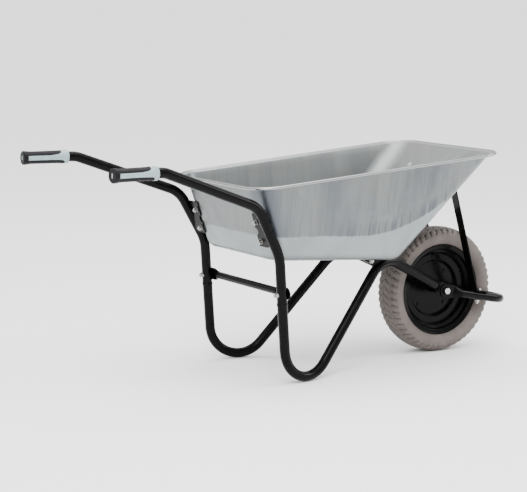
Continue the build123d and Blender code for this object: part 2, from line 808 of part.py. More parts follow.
for side_name, side in SIDES:
    with BuildPart() as axle_spacer:
        with BuildSketch(out_plane(side, spacer_start)):
            Circle(hub_radius - hub_wall)
            Circle(axle_radius + bolt_gap, mode=Mode.SUBTRACT)
        extrude(amount=tongue_inner - spacer_start)
    axle_spacer.part.label = "axle_spacer_" + side_name
    export_step(axle_spacer.part, f"parts/axle_spacer_{side_name}.step")


# ---------------------------------------------------------------- wheel
with BuildPart() as hub_tube:
    with BuildSketch(out_plane(1, -hub_half)):
        Circle(hub_radius)
        Circle(hub_radius - hub_wall, mode=Mode.SUBTRACT)
    extrude(amount=2 * hub_half)
hub_tube.part.label = "hub_tube"
export_step(hub_tube.part, "parts/hub_tube.step")

for side_name, side in SIDES:
    with BuildPart() as hub_bush:
        with BuildSketch(out_plane(side, hub_half - bush_length)):
            Circle(hub_radius - hub_wall)
            Circle(axle_radius + running_gap, mode=Mode.SUBTRACT)
        extrude(amount=bush_length)
        with BuildSketch(out_plane(side, hub_half)):
            Circle(hub_radius)
            Circle(axle_radius + running_gap, mode=Mode.SUBTRACT)
        extrude(amount=bush_flange)
    hub_bush.part.label = "hub_bush_" + side_name
    export_step(hub_bush.part, f"parts/hub_bush_{side_name}.step")


# Both rim halves as (axial, radius) lines; the wheel's right-hand side has the deeper dish.
right_line = (
    (disc_place, hub_radius),
    (disc_place, disc_radius),
    (0, ring_inner),
    (0, ring_outer),
    (right_well[0], well_radius),
    (right_well[1], bead_seat - flange_curl),
    (-rim_flange_half + seat_width, bead_seat),
    (-rim_flange_half + flange_curl, rim_flange_radius - 4),
    (-rim_flange_half, rim_flange_radius),
)
far_face = disc_place + 2 * rim_sheet
left_line = (
    (far_face, hub_radius),
    (far_face, ring_outer - 2),
    (left_well[0], well_radius),
    (left_well[1], bead_seat - flange_curl),
    (rim_flange_half - seat_width, bead_seat),
    (rim_flange_half - flange_curl, rim_flange_radius - 4),
    (rim_flange_half, rim_flange_radius),
)
right_back = sheet_outline(right_line, -rim_sheet)
left_back = sheet_outline(left_line, rim_sheet)
rivet_places = [360 / rivet_count * (k + 0.5) for k in range(rivet_count)]


def rivet_planes():
    """Planes on the right-hand face of the disc, Z pointing to the left of the wheel."""
    planes = []
    for angle in rivet_places:
        turn = math.radians(angle)
        out = Vector(rivet_circle * math.cos(turn), disc_place, rivet_circle * math.sin(turn))
        planes.append(Plane(origin=axle_point + out, z_dir=(0, 1, 0)))
    return planes


for side_name, line, back in (("right", right_line, right_back), ("left", left_line, left_back)):
    with BuildPart() as rim_half:
        with BuildSketch(wheel_plane):
            with BuildLine():
                Polyline(*line, *reversed(back), close=True)
            make_face()
        revolve(axis=wheel_axis)
        with Locations(*rivet_planes()):
            Cylinder(rivet_radius, 8 * rim_sheet, mode=Mode.SUBTRACT)
        if side_name == "right":
            turn = math.radians(valve_angle)
            ring_middle = (ring_inner + ring_outer) / 2
            valve_out = Vector(ring_middle * math.cos(turn), rim_sheet / 2, ring_middle * math.sin(turn))
            valve_hole = axle_point + valve_out
            with Locations(Plane(origin=valve_hole, z_dir=(0, 1, 0))):
                Cylinder(valve_radius, 2 * rim_sheet, mode=Mode.SUBTRACT)
    rim_half.part.label = "rim_half_" + side_name
    export_step(rim_half.part, f"parts/rim_half_{side_name}.step")

with BuildPart() as rim_rivets:
    for base in rivet_planes():
        bar(base.offset(-rivet_head), 2 * (rim_sheet + rivet_head), rivet_radius)
        bar(base.offset(-rivet_head), rivet_head, 1.8 * rivet_radius)
        bar(base.offset(2 * rim_sheet), rivet_head, 1.8 * rivet_radius)
rim_rivets.part.label = "rim_rivets"
export_step(rim_rivets.part, "parts/rim_rivets.step")

with BuildPart() as valve_plug:
    face = Plane(origin=valve_hole + Vector(0, -rim_sheet / 2, 0), z_dir=(0, -1, 0))
    bar(face, valve_head, valve_radius + 2)
    bar(face.offset(-rim_sheet), rim_sheet, valve_radius)
    bar(face.offset(-rim_sheet - valve_head), valve_head, valve_radius + 1.5)
valve_plug.part.label = "valve_plug"
export_step(valve_plug.part, "parts/valve_plug.step")

tyre_outside = (
    (-rim_flange_half + 3.2, rim_flange_radius + 0.6),
    (-rim_flange_half - 5, rim_flange_radius + 5),
    (-tyre_half + 2.5, 0.62 * rim_flange_radius + 0.38 * wheel_radius),
    (-tyre_half, 0.42 * rim_flange_radius + 0.58 * wheel_radius),
    (-tyre_half + 2, wheel_radius - shoulder_drop - 9),
    (-tyre_half + 9, wheel_radius - shoulder_drop + 2),
)
with BuildPart() as tyre:
    with BuildSketch(wheel_plane):
        mirrored = [(-x, y) for x, y in reversed(tyre_outside)]
        inner_right = [p for p in reversed(right_back) if p[1] > ring_outer - 1]
        inner_left = [p for p in left_back if p[1] > ring_outer - 5]
        with BuildLine():
            crown_start = tyre_outside[-1]
            outline_rest = [*mirrored, *reversed(inner_left), *reversed(inner_right), *tyre_outside]
            Polyline(*outline_rest)
            ThreePointArc(crown_start, (0, wheel_radius), mirrored[0])
        make_face()
    revolve(axis=wheel_axis)
tyre.part.label = "tyre"
export_step(tyre.part, "parts/tyre.step")


# ---------------------------------------------------------------- fasteners
def hexagon_nut(base):
    """A nut standing on a plane."""
    with BuildPart() as nut:
        with BuildSketch(base):
            RegularPolygon(nut_flats / 2, 6, major_radius=False)
            Circle(bolt_radius, mode=Mode.SUBTRACT)
        extrude(amount=nut_height)
    return nut.part


def washer(base):
    """A small washer standing on a plane."""
    with BuildPart() as ring:
        with BuildSketch(base):
            Circle(small_washer_radius)
            Circle(bolt_radius + bolt_gap, mode=Mode.SUBTRACT)
        extrude(amount=small_washer)
    return ring.part


def carriage_head(base):
    """A shallow dome on the under side of a plane."""
    ball_radius = (dome_radius * dome_radius + dome_height * dome_height) / (2 * dome_height)
    with BuildPart() as cap:
        with Locations(base.offset(ball_radius - dome_height)):
            Sphere(ball_radius)
        split(bisect_by=base, keep=Keep.BOTTOM)
    return cap.part


with BuildPart() as tray_bolts:
    for place in TRAY_SITES:
        head = head_plane(place)
        stack = wall_thickness(place.z_dir) + plate + small_washer + nut_height
        bar(head, stack + bolt_spare, bolt_radius)
        add(carriage_head(head))
tray_bolts.part.label = "tray_bolts"
export_step(tray_bolts.part, "parts/tray_bolts.step")

with BuildPart() as tray_washers:
    for place in TRAY_SITES:
        add(washer(place))
tray_washers.part.label = "tray_washers"
export_step(tray_washers.part, "parts/tray_washers.step")

with BuildPart() as tray_nuts:
    for place in TRAY_SITES:
        add(hexagon_nut(place.offset(small_washer)))
tray_nuts.part.label = "tray_nuts"
export_step(tray_nuts.part, "parts/tray_nuts.step")


def through_bolts(name, heads, grip):
    """Hexagon bolts, washers and nuts through a stack, one set for each head plane."""
    with BuildPart() as bolts:
        for head in heads:
            with BuildSketch(head):
                RegularPolygon(nut_flats / 2, 6, major_radius=False)
            extrude(amount=-hex_head)
            bar(head, grip + small_washer + nut_height + bolt_spare, bolt_radius)
    bolts.part.label = name + "_bolts"
    export_step(bolts.part, f"parts/{name}_bolts.step")
    with BuildPart() as nuts:
        for head in heads:
            add(hexagon_nut(head.offset(grip + small_washer)))
    nuts.part.label = name + "_nuts"
    export_step(nuts.part, f"parts/{name}_nuts.step")
    with BuildPart() as washers:
        for head in heads:
            add(washer(head.offset(grip)))
    washers.part.label = name + "_washers"
    export_step(washers.part, f"parts/{name}_washers.step")


brace_heads = [
    Plane(origin=leg_point(brace_z, i) + leg_front * (tube_radius + plate), z_dir=-leg_front)
    for i in range(2)
]
through_bolts("brace", brace_heads, plate + 2 * tube_radius)
stay_heads = [
    Plane(origin=stay_hole_centre(side) + hoop_up * (hoop_radius + plate), z_dir=-hoop_up)
    for _, side in SIDES
]
through_bolts("stay", stay_heads, plate + 2 * hoop_radius)
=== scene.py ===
import json
import math

import bmesh
import bpy
from bpy.props import FloatProperty, FloatVectorProperty, IntProperty, PointerProperty
from bpy.types import Operator, Panel, PropertyGroup
from mathutils import Matrix, Vector


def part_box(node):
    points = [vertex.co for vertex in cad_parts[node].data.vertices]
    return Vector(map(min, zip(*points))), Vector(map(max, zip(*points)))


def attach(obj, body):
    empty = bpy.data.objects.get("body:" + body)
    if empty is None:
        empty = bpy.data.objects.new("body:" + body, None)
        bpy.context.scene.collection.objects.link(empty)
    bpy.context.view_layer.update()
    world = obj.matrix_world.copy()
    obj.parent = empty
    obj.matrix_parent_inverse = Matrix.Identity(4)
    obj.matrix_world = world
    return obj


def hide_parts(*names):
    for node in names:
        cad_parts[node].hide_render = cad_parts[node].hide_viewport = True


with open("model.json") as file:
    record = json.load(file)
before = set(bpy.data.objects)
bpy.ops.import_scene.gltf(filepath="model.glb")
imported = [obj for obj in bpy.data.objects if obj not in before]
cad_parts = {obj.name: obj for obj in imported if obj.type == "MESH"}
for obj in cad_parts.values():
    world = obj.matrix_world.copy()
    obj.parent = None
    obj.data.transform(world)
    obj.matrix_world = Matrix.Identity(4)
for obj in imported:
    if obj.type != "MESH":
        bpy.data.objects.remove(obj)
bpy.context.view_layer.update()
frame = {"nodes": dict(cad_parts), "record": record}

bl_info = {
    "name": "Wheelbarrow",
    "version": (1, 0, 0),
    "blender": (4, 5, 0),
    "location": "View3D > Sidebar > Barrow",
    "description": "Builds the visible tray, wheel, leg joints and finishes of a barrow around its packed frame",
    "category": "Object",
}

TYRE_LOW, TYRE_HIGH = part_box("tyre")
AXLE = (TYRE_LOW + TYRE_HIGH) / 2
WHEEL_RADIUS = (TYRE_HIGH.z - TYRE_LOW.z) / 2
TYRE_HALF = (TYRE_HIGH.y - TYRE_LOW.y) / 2


# ---------------------------------------------------------------- settings
def length(name, description, default):
    return FloatProperty(name=name, description=description, default=default, min=0.0, unit="LENGTH", precision=4)


def share(name, description, default):
    return FloatProperty(name=name, description=description, default=default, min=0.0, max=1.0, subtype="FACTOR")


def tint(name, description, default):
    return FloatVectorProperty(name=name, description=description, default=default, size=3, min=0.0, max=1.0,
                               subtype="COLOR")


class BarrowTraySettings(PropertyGroup):
    sheet: length("Sheet", "Thickness of the tray sheet", 0.0015)
    bottom_round: length("Bottom round", "Radius between the floor and the walls", 0.033)
    lip_round: length("Lip round", "Radius between a wall and the lip", 0.006)
    bead: length("Bead", "Radius of the rolled edge", 0.0045)
    band_height: length("Band height", "Height of the smooth lower band on the side walls", 0.076)
    zinc: tint("Zinc", "Colour of the drawn sheet", (0.172, 0.185, 0.187))
    zinc_dark: tint("Dark zinc", "Colour of the rubbed streaks", (0.112, 0.122, 0.128))
    # Blue-grey zinc for the random bands and rub marks, and for the painted dark reflection up the rear corners.
    zinc_blue_and_reflection: tint("Blue zinc", "Colour of the burnished corners and bands", (0.066, 0.077, 0.096))
    zinc_warm: tint("Warm zinc", "Colour of the weathered patches", (0.158, 0.155, 0.140))
    zinc_band: tint("Band zinc", "Colour of the smooth lower band", (0.242, 0.268, 0.275))
    # Lighter zinc painted on the rolled edge as a highlight line and on the inner face as painted light.
    zinc_painted_light: tint("Edge zinc", "Colour of the rolled edge", (0.275, 0.288, 0.280))
    roughness: share("Roughness", "Roughness of the sheet", 0.40)


class BarrowWheelSettings(PropertyGroup):
    blocks: IntProperty(name="Blocks", description="Tread pitches round the tyre", default=54, min=12, max=120)
    groove: length("Groove", "Width of the fine tread grooves", 0.0021)
    shoulder_gap: length("Shoulder gap", "Gap between the lugs at the shoulders", 0.0026)
    groove_depth: length("Groove depth", "Depth of the tread grooves", 0.0046)
    lug_depth: length("Lug depth", "Depth of the gaps between the shoulder lugs", 0.0072)
    lug_crown: length("Lug crown", "How far the ends of a shoulder lug fall below its middle", 0.0036)
    tyre: tint("Tyre", "Colour of the tyre", (0.100, 0.084, 0.076))
    tyre_dust: tint("Dust", "Colour of the paler scuffed rubber", (0.137, 0.118, 0.108))


class BarrowFinishSettings(PropertyGroup):
    paint: tint("Paint", "Colour of the frame and rim paint", (0.0015, 0.0014, 0.0015))
    paint_roughness: share("Paint roughness", "Roughness of the frame paint", 0.20)
    rubber: tint("Grip rubber", "Colour of the soft outer grip", (0.0055, 0.0052, 0.0062))
    core: tint("Grip core", "Colour of the pale inner grip", (0.255, 0.335, 0.35))
    plate: tint("Zinc plate", "Colour of nuts and bolts", (0.42, 0.42, 0.40))


class BarrowStageSettings(PropertyGroup):
    floor: tint("Floor", "Colour of the floor", (0.92, 0.92, 0.92))
    sky: FloatProperty(name="Sky", description="Strength of the light from above", default=2.9, min=0.0)
    horizon: FloatProperty(name="Horizon", description="Strength of the light from the sides", default=0.75,
                           min=0.0)
    key: FloatProperty(name="Key", description="Power of the main soft light", default=170.0, min=0.0,
                       unit="POWER")
    distance: length("Distance", "From the camera to its target", 5.25976)
    lens: FloatProperty(name="Lens", description="Focal length", default=119.72, min=1.0, unit="CAMERA")


# ---------------------------------------------------------------- mesh helpers
def finish_piece(name, vertices, faces, material, smooth=True):
    """A mesh object at the origin, made from points and faces."""
    mesh = bpy.data.meshes.new(name)
    mesh.from_pydata([tuple(v) for v in vertices], [], faces)
    mesh.validate()
    mesh.update()
    for polygon in mesh.polygons:
        polygon.use_smooth = smooth
    mesh.materials.append(material)
    piece = bpy.data.objects.new(name, mesh)
    bpy.context.scene.collection.objects.link(piece)
    return piece


def keep_values(piece, name, values):
    """Stores one number for each point of the mesh, for its material to read."""
    layer = piece.data.attributes.new(name, "FLOAT", "POINT")
    layer.data.foreach_set("value", values)


def face_outwards(piece):
    """Recalculates the normals of a closed mesh."""
    shape = bmesh.new()
    shape.from_mesh(piece.data)
    bmesh.ops.recalc_face_normals(shape, faces=shape.faces)
    shape.to_mesh(piece.data)
    shape.free()


def arc_between(corner, one_way, other_way, radius, steps):
    """Points of the arc that rounds a corner between two directions."""
    a = one_way.normalized()
    b = other_way.normalized()
    half = a.angle(b) / 2
    centre = corner + (a + b).normalized() * (radius / math.sin(half))
    start = corner + a * (radius / math.tan(half)) - centre
    end = corner + b * (radius / math.tan(half)) - centre
    sweep = start.angle(end)
    points = []
    for k in range(steps + 1):
        t = k / steps
        mix = start * math.sin((1 - t) * sweep) + end * math.sin(t * sweep)
        points.append(centre + mix / math.sin(sweep))
    return points


def rounded_line(points, radii, steps=5):
    """A line in a plane with its inner corners rounded; points are (across, out) pairs."""
    line = [Vector((*points[0], 0))]
    for before, corner, after, radius in zip(points, points[1:], points[2:], radii):
        here = Vector((*corner, 0))
        if radius:
            line += arc_between(here, Vector((*before, 0)) - here, Vector((*after, 0)) - here, radius, steps)
        else:
            line.append(here)
    line.append(Vector((*points[-1], 0)))
    return [(p.x, p.y) for p in line]


def rings_to_faces(ring_count, size, closed_line=False):
    """Quads between rings of equal size; each ring is closed."""
    faces = []
    for r in range(ring_count if closed_line else ring_count - 1):
        here = r * size
        there = (r + 1) % ring_count * size
        for k in range(size):
            n = (k + 1) % size
            faces.append((here + k, here + n, there + n, there + k))
    return faces


def lathe(name, line, material, steps=144):
    """A closed line of (across, radius) pairs spun round the axle."""
    vertices = []
    for across, radius in line:
        for k in range(steps):
            turn = 2 * math.pi * k / steps
            vertices.append(AXLE + Vector((radius * math.cos(turn), across, radius * math.sin(turn))))
    piece = finish_piece(name, vertices, rings_to_faces(len(line), steps, closed_line=True), material)
    face_outwards(piece)
    return piece


# ---------------------------------------------------------------- material helpers
class Finish:
    """A material and short ways to add nodes to it."""

    def __init__(self, name):
        self.material = bpy.data.materials.new(name)
        self.material.use_nodes = True
        self.tree = self.material.node_tree
        self.shader = self.tree.nodes["Principled BSDF"]

    def node(self, kind, values=(), **settings):
        """A shader node with its properties and the values of its inputs."""
        made = self.tree.nodes.new("ShaderNode" + kind)
        for key, value in settings.items():
            setattr(made, key, value)
        for key, value in dict(values).items():
            made.inputs[key].default_value = value
        return made

    def wire(self, source, target):
        """Links one socket to another."""
        self.tree.links.new(source, target)
        return target

    def set(self, **values):
        """Sets inputs of the shader; an underscore stands for a space."""
        for key, value in values.items():
            self.shader.inputs[key.replace("_", " ")].default_value = value

    def stretched(self, source, scale, detail=3.0, roughness=0.5, distortion=0.0):
        """Noise on a coordinate that is stretched by scale."""
        place = self.node("Mapping", {"Scale": scale})
        self.wire(source, place.inputs["Vector"])
        noise = self.node("TexNoise", {"Scale": 1.0, "Detail": detail, "Roughness": roughness,
                                       "Distortion": distortion})
        self.wire(place.outputs["Vector"], noise.inputs["Vector"])
        return noise.outputs["Fac"]

    def sheet_place(self, body):
        """Round, up and across the sheet: the two UV values and the object's own Y."""
        sheet = self.node("SeparateXYZ")
        self.wire(self.node("UVMap", uv_map="sheet").outputs["UV"], sheet.inputs["Vector"])
        across = self.node("SeparateXYZ")
        self.wire(body, across.inputs["Vector"])
        joined = self.node("CombineXYZ")
        self.wire(sheet.outputs["X"], joined.inputs["X"])
        self.wire(sheet.outputs["Y"], joined.inputs["Y"])
        self.wire(across.outputs["Y"], joined.inputs["Z"])
        return joined.outputs["Vector"]

    def attribute(self, name):
        """A value kept on the points of the mesh."""
        return self.node("Attribute", attribute_name=name, attribute_type="GEOMETRY").outputs["Fac"]

    def remap(self, source, low, high, to_low=0.0, to_high=1.0):
        """A soft step from one range to another."""
        made = self.node("MapRange", {"From Min": low, "From Max": high, "To Min": to_low, "To Max": to_high},
                         interpolation_type="SMOOTHSTEP")
        self.wire(source, made.inputs["Value"])
        return made.outputs["Result"]

    def blend(self, factor, one, two):
        """A colour between two colours or sockets."""
        made = self.node("Mix", data_type="RGBA")
        self.wire(factor, made.inputs["Factor"])
        for value, socket in ((one, made.inputs["A"]), (two, made.inputs["B"])):
            self.colour(value, socket)
        return made.outputs["Result"]

    def colour(self, value, socket):
        """Gives a colour input a plain colour or a link."""
        if isinstance(value, bpy.types.NodeSocket):
            self.wire(value, socket)
        else:
            socket.default_value = (*value, 1.0)

    def math(self, operation, one, two=0.0):
        """One step of arithmetic on numbers or sockets."""
        made = self.node("Math", operation=operation)
        for value, socket in ((one, made.inputs[0]), (two, made.inputs[1])):
            if isinstance(value, bpy.types.NodeSocket):
                self.wire(value, socket)
            else:
                socket.default_value = value
        return made.outputs["Value"]

    def bump(self, source, distance, strength=1.0, before=None):
        """A normal raised by a height, on top of an earlier one."""
        made = self.node("Bump", {"Distance": distance, "Strength": strength})
        self.wire(source, made.inputs["Height"])
        if before is not None:
            self.wire(before, made.inputs["Normal"])
        return made.outputs["Normal"]


BAND_SOFT = 0.003       # half the height of the soft step at the top of the band
BAND_RAGGED = 0.012     # how far the top of the band wanders up and down
RUB_TOP = 0.055         # height above the band where the dark rub marks are gone
RUB_FADE = 0.012        # height above the band where they start to fade
INSIDE_PAINTED_LIGHT = 0.42      # how far the inner face is lightened: painted light that offsets its shade
TEETH_DARK = 0.70       # how dark the rub marks are
CORNER_REFLECTION_DARK = 0.75      # how dark the painted reflection of dark surroundings is in the rear corners


def galvanised_sheet(settings):
    """Deep-drawn zinc-coated sheet: rubbed streaks up the walls, a smooth pale band below; with painted light: a
    lighter rolled edge and inner face, and a dark reflection up the rear corners.
    """
    finish = Finish("galvanised_sheet")
    body = finish.node("TexCoord").outputs["Object"]
    place = finish.sheet_place(body)
    above_band = finish.attribute("above_band")
    fine = finish.stretched(place, (300.0, 4.0, 9.0), 4.0, 0.6)
    broad = finish.stretched(place, (34.0, 2.2, 9.0), 3.0, 0.55, 0.4)
    wide = finish.stretched(place, (8.5, 0.9, 4.0), 2.0, 0.5, 0.3)
    patches = finish.stretched(body, (9.0, 9.0, 9.0), 5.0, 0.62, 0.3)
    weather = finish.stretched(body, (5.0, 5.0, 13.0), 6.0, 0.65, 0.6)
    scratches = finish.stretched(place, (3.0, 190.0, 6.0), 3.0, 0.7)
    teeth = finish.stretched(place, (75.0, 0.6, 5.0), 2.0, 0.7)

    wander = finish.math("MULTIPLY", finish.math("SUBTRACT", teeth, 0.5), BAND_RAGGED)
    ragged = finish.math("ADD", above_band, wander)
    upper = finish.remap(ragged, -BAND_SOFT, BAND_SOFT)
    rub_line = finish.math("MULTIPLY", finish.remap(ragged, 0.0, 0.004),
                           finish.remap(ragged, RUB_TOP, RUB_FADE))
    dark_teeth = finish.math("MULTIPLY", rub_line, finish.remap(teeth, 0.47, 0.60))
    dark_teeth = finish.math("MULTIPLY", dark_teeth, finish.attribute("rubbed"))

    streak = finish.remap(finish.math("ADD", finish.math("MULTIPLY", fine, 0.40),
                                      finish.math("MULTIPLY", broad, 0.60)), 0.30, 0.60)
    drawn = finish.blend(streak, settings.zinc_dark, settings.zinc)
    drawn = finish.blend(finish.remap(weather, 0.45, 0.72, 0.0, 0.60), drawn, settings.zinc_warm)
    drawn = finish.blend(finish.remap(patches, 0.50, 0.78, 0.0, 0.45), drawn, settings.zinc_band)
    drawn = finish.blend(finish.remap(wide, 0.50, 0.70, 0.0, 0.42), drawn, settings.zinc_blue_and_reflection)
    drawn = finish.blend(finish.remap(scratches, 0.62, 0.74, 0.0, 0.30), drawn, settings.zinc_dark)
    # Painted light: the inner face is lightened towards the lighter zinc to offset the shade it sits in.
    inside_painted_light = finish.math("MULTIPLY", finish.attribute("inside_painted_light"), INSIDE_PAINTED_LIGHT)
    drawn = finish.blend(inside_painted_light, drawn, settings.zinc_painted_light)
    drawn = finish.blend(finish.math("MULTIPLY", dark_teeth, TEETH_DARK), drawn, settings.zinc_blue_and_reflection)
    # Painted reflection: the rear corners are darkened to blue-grey, as if the sheet mirrored dark surroundings.
    painted_reflection = finish.math("MULTIPLY", finish.attribute("painted_reflection"), CORNER_REFLECTION_DARK)
    drawn = finish.blend(painted_reflection, drawn, settings.zinc_blue_and_reflection)
    band = finish.blend(finish.remap(patches, 0.35, 0.7, 0.0, 0.45), settings.zinc_band, settings.zinc)
    sheet = finish.blend(upper, band, drawn)
    # Painted highlight: the rolled edge gets a lighter zinc, along with a smoother finish.
    edge = finish.attribute("rolled_edge")
    finish.wire(finish.blend(edge, sheet, settings.zinc_painted_light), finish.shader.inputs["Base Color"])
    rough = finish.math("ADD", finish.math("MULTIPLY", broad, 0.22), finish.math("MULTIPLY", patches, 0.14))
    rough = finish.math("SUBTRACT", rough, finish.math("MULTIPLY", edge, 0.12))
    finish.wire(finish.math("ADD", rough, settings.roughness - 0.18), finish.shader.inputs["Roughness"])
    ripple = finish.bump(finish.stretched(place, (11.0, 1.2, 7.0), 1.5, 0.4), 0.0022, 0.55)
    grain = finish.bump(fine, 0.00012, 0.6, ripple)
    finish.wire(grain, finish.shader.inputs["Normal"])
    finish.set(Metallic=0.92, IOR=1.8)
    return finish.material


def gloss_paint(name, settings, roughness):
    """Black paint with a faint orange peel and a little dust on the gloss."""
    finish = Finish(name)
    body = finish.node("TexCoord").outputs["Object"]
    dust = finish.stretched(body, (38.0, 38.0, 38.0), 5.0, 0.65)
    finish.wire(finish.blend(finish.remap(dust, 0.5, 0.85, 0.0, 0.03), settings.paint, (0.10, 0.10, 0.10)),
                finish.shader.inputs["Base Color"])
    finish.wire(finish.remap(dust, 0.3, 0.8, roughness - 0.04, roughness + 0.06),
                finish.shader.inputs["Roughness"])
    peel = finish.bump(finish.stretched(body, (420.0, 420.0, 420.0), 2.0, 0.5), 0.00015, 0.35)
    finish.wire(peel, finish.shader.inputs["Normal"])
    finish.set(IOR=1.45, Specular_IOR_Level=0.085)
    return finish.material


def tyre_rubber(settings):
    """Dry grey-brown rubber, paler where it is scuffed."""
    finish = Finish("tyre_rubber")
    body = finish.node("TexCoord").outputs["Object"]
    scuff = finish.stretched(body, (16.0, 16.0, 16.0), 6.0, 0.62, 0.5)
    grain = finish.stretched(body, (520.0, 520.0, 520.0), 3.0, 0.6)
    finish.wire(finish.blend(finish.remap(scuff, 0.38, 0.72), settings.tyre, settings.tyre_dust),
                finish.shader.inputs["Base Color"])
    finish.wire(finish.remap(scuff, 0.3, 0.8, 0.62, 0.82), finish.shader.inputs["Roughness"])
    finish.wire(finish.bump(grain, 0.0003, 0.35), finish.shader.inputs["Normal"])
    finish.set(IOR=1.45, Specular_IOR_Level=0.35)
    return finish.material


def soft_rubber(settings):
    """Black grip rubber with a fine moulded grain."""
    finish = Finish("grip_rubber")
    body = finish.node("TexCoord").outputs["Object"]
    grain = finish.stretched(body, (900.0, 900.0, 900.0), 2.0, 0.5)
    wear = finish.stretched(body, (45.0, 45.0, 45.0), 4.0, 0.6)
    finish.wire(finish.blend(finish.remap(wear, 0.45, 0.8, 0.0, 0.35), settings.rubber, (0.016, 0.0155, 0.018)),
                finish.shader.inputs["Base Color"])
    finish.wire(finish.remap(wear, 0.3, 0.8, 0.42, 0.58), finish.shader.inputs["Roughness"])
    finish.wire(finish.bump(grain, 0.0002, 0.4), finish.shader.inputs["Normal"])
    finish.set(Specular_IOR_Level=0.10)
    return finish.material


def moulded_plastic(name, colour, roughness=0.45):
    """Plain moulded plastic with a faint mottle."""
    finish = Finish(name)
    body = finish.node("TexCoord").outputs["Object"]
    mottle = finish.stretched(body, (60.0, 60.0, 60.0), 4.0, 0.6)
    darker = [c * 0.8 for c in colour]
    finish.wire(finish.blend(finish.remap(mottle, 0.35, 0.75), colour, darker), finish.shader.inputs["Base Color"])
    finish.wire(finish.remap(mottle, 0.3, 0.8, roughness - 0.06, roughness + 0.12),
                finish.shader.inputs["Roughness"])
    return finish.material


def zinc_plate(settings):
    """Bright plated fasteners with small dull spots."""
    finish = Finish("zinc_plate")
    body = finish.node("TexCoord").outputs["Object"]
    spots = finish.stretched(body, (260.0, 260.0, 260.0), 4.0, 0.6)
    finish.wire(finish.blend(finish.remap(spots, 0.45, 0.7), settings.plate, (0.30, 0.30, 0.29)),
                finish.shader.inputs["Base Color"])
    finish.wire(finish.remap(spots, 0.3, 0.8, 0.22, 0.45), finish.shader.inputs["Roughness"])
    finish.set(Metallic=1.0)
    return finish.material


# ---------------------------------------------------------------- tray
FLOOR_REAR = Vector((AXLE.x - 0.742, 0, 0.365))
FLOOR_FRONT = Vector((AXLE.x - 0.272, 0, 0.336))
RIM_REAR = Vector((AXLE.x - 0.829, 0, 0.580))
RIM_FRONT = Vector((AXLE.x + 0.0635, 0, 0.654))
FLOOR_HALF = 0.206
FLOOR_CORNER = 0.066
RIM_REAR_HALF = 0.262
RIM_FRONT_HALF = 0.274
RIM_CORNER = 0.084
LIP_WIDTH = 0.021
WALL_CORNER = RIM_CORNER - 0.8 * LIP_WIDTH
EDGE_INSET = 0.0045     # from the rim's outline to the middle of the rolled edge
FLOOR_END = 0.07        # length at each end of the floor where the wall's foot turns
ARC_STEPS = 14
EDGE_STEPS = 16
BOTTOM_STEPS = 8
WALL_STEPS = 14
LIP_STEPS = 5
BEAD_STEPS = 18
FLOOR_SHARES = (0.02, 0.25, 0.5, 0.75, 0.92, 0.985)
BAND_CLIMB = 0.26       # how steeply the band climbs towards the front
BAND_CLIMB_FROM = 0.62  # share of the floor's length where it starts to
BAND_CLIMB_LIMIT = 0.11
BAND_DIP = 0.012        # how much lower the band lies at the rear
BAND_DIP_FROM = 0.35
REFLECTION_MIDDLE = {0: 0.62, 3: 0.38}     # where the painted reflection lies in each rear corner's arc
REFLECTION_WIDTH = 0.34


class SlopedOutline:
    """A rounded outline in a plane that slopes along the tray."""

    def __init__(self, rear, front, rear_half, front_half, corner):
        self.rear = rear
        self.along = (front - rear).normalized()
        self.up = self.along.cross(Vector((0, 1, 0)))
        self.reach = (front - rear).length
        self.rear_half = rear_half
        self.front_half = front_half
        self.corner = corner

    def points(self, inset=0.0, corner=None):
        """The outline moved in by an inset, with the same number of points whatever its size."""
        radius = (self.corner - inset) if corner is None else corner
        corners = [
            Vector((inset, inset - self.rear_half, 0)),
            Vector((self.reach - inset, inset - self.front_half, 0)),
            Vector((self.reach - inset, self.front_half - inset, 0)),
            Vector((inset, self.rear_half - inset, 0)),
        ]
        arcs = []
        for k, here in enumerate(corners):
            arcs.append(arc_between(here, corners[k - 1] - here, corners[(k + 1) % 4] - here, radius, ARC_STEPS))
        flat = []
        for k, arc in enumerate(arcs):
            flat += arc
            start = arc[-1]
            end = arcs[(k + 1) % 4][0]
            flat += [start.lerp(end, n / EDGE_STEPS) for n in range(1, EDGE_STEPS)]
        return [self.rear + self.along * p.x + Vector((0, p.y, 0)) for p in flat]


def wall_profile(floor, rim, inset, lift, bottom_round, lip_round, lip_level):
    """Rings from the edge of the flat floor, up the wall, to the start of the lip."""
    feet = floor.points(inset)
    tops = rim.points(LIP_WIDTH + inset, WALL_CORNER - inset)
    centre_line = rim.points(EDGE_INSET, RIM_CORNER)
    columns = []
    for k, (foot, top, edge) in enumerate(zip(feet, tops, centre_line)):
        climb = top - foot
        foot = foot + climb * (lift / climb.dot(floor.up))
        top = top + rim.up * lip_level
        climb = (top - foot).normalized()
        run = (foot - floor.rear).dot(floor.along)
        middle = floor.rear + floor.along * max(FLOOR_END, min(floor.reach - FLOOR_END, run))
        along_edge = feet[(k + 1) % len(feet)] - feet[k - 1]
        inward = floor.up.cross(along_edge).normalized()
        if inward.dot(middle - foot) < 0:
            inward = -inward
        out = (edge - tops[k]).normalized()
        low_arc = arc_between(foot, inward, climb, bottom_round, BOTTOM_STEPS)
        high_arc = arc_between(top, -climb, out, lip_round, LIP_STEPS)
        start = low_arc[-1]
        end = high_arc[0]
        wall = [start.lerp(end, n / WALL_STEPS) for n in range(1, WALL_STEPS)]
        columns.append(low_arc + wall + high_arc)
    return [list(ring) for ring in zip(*columns)]


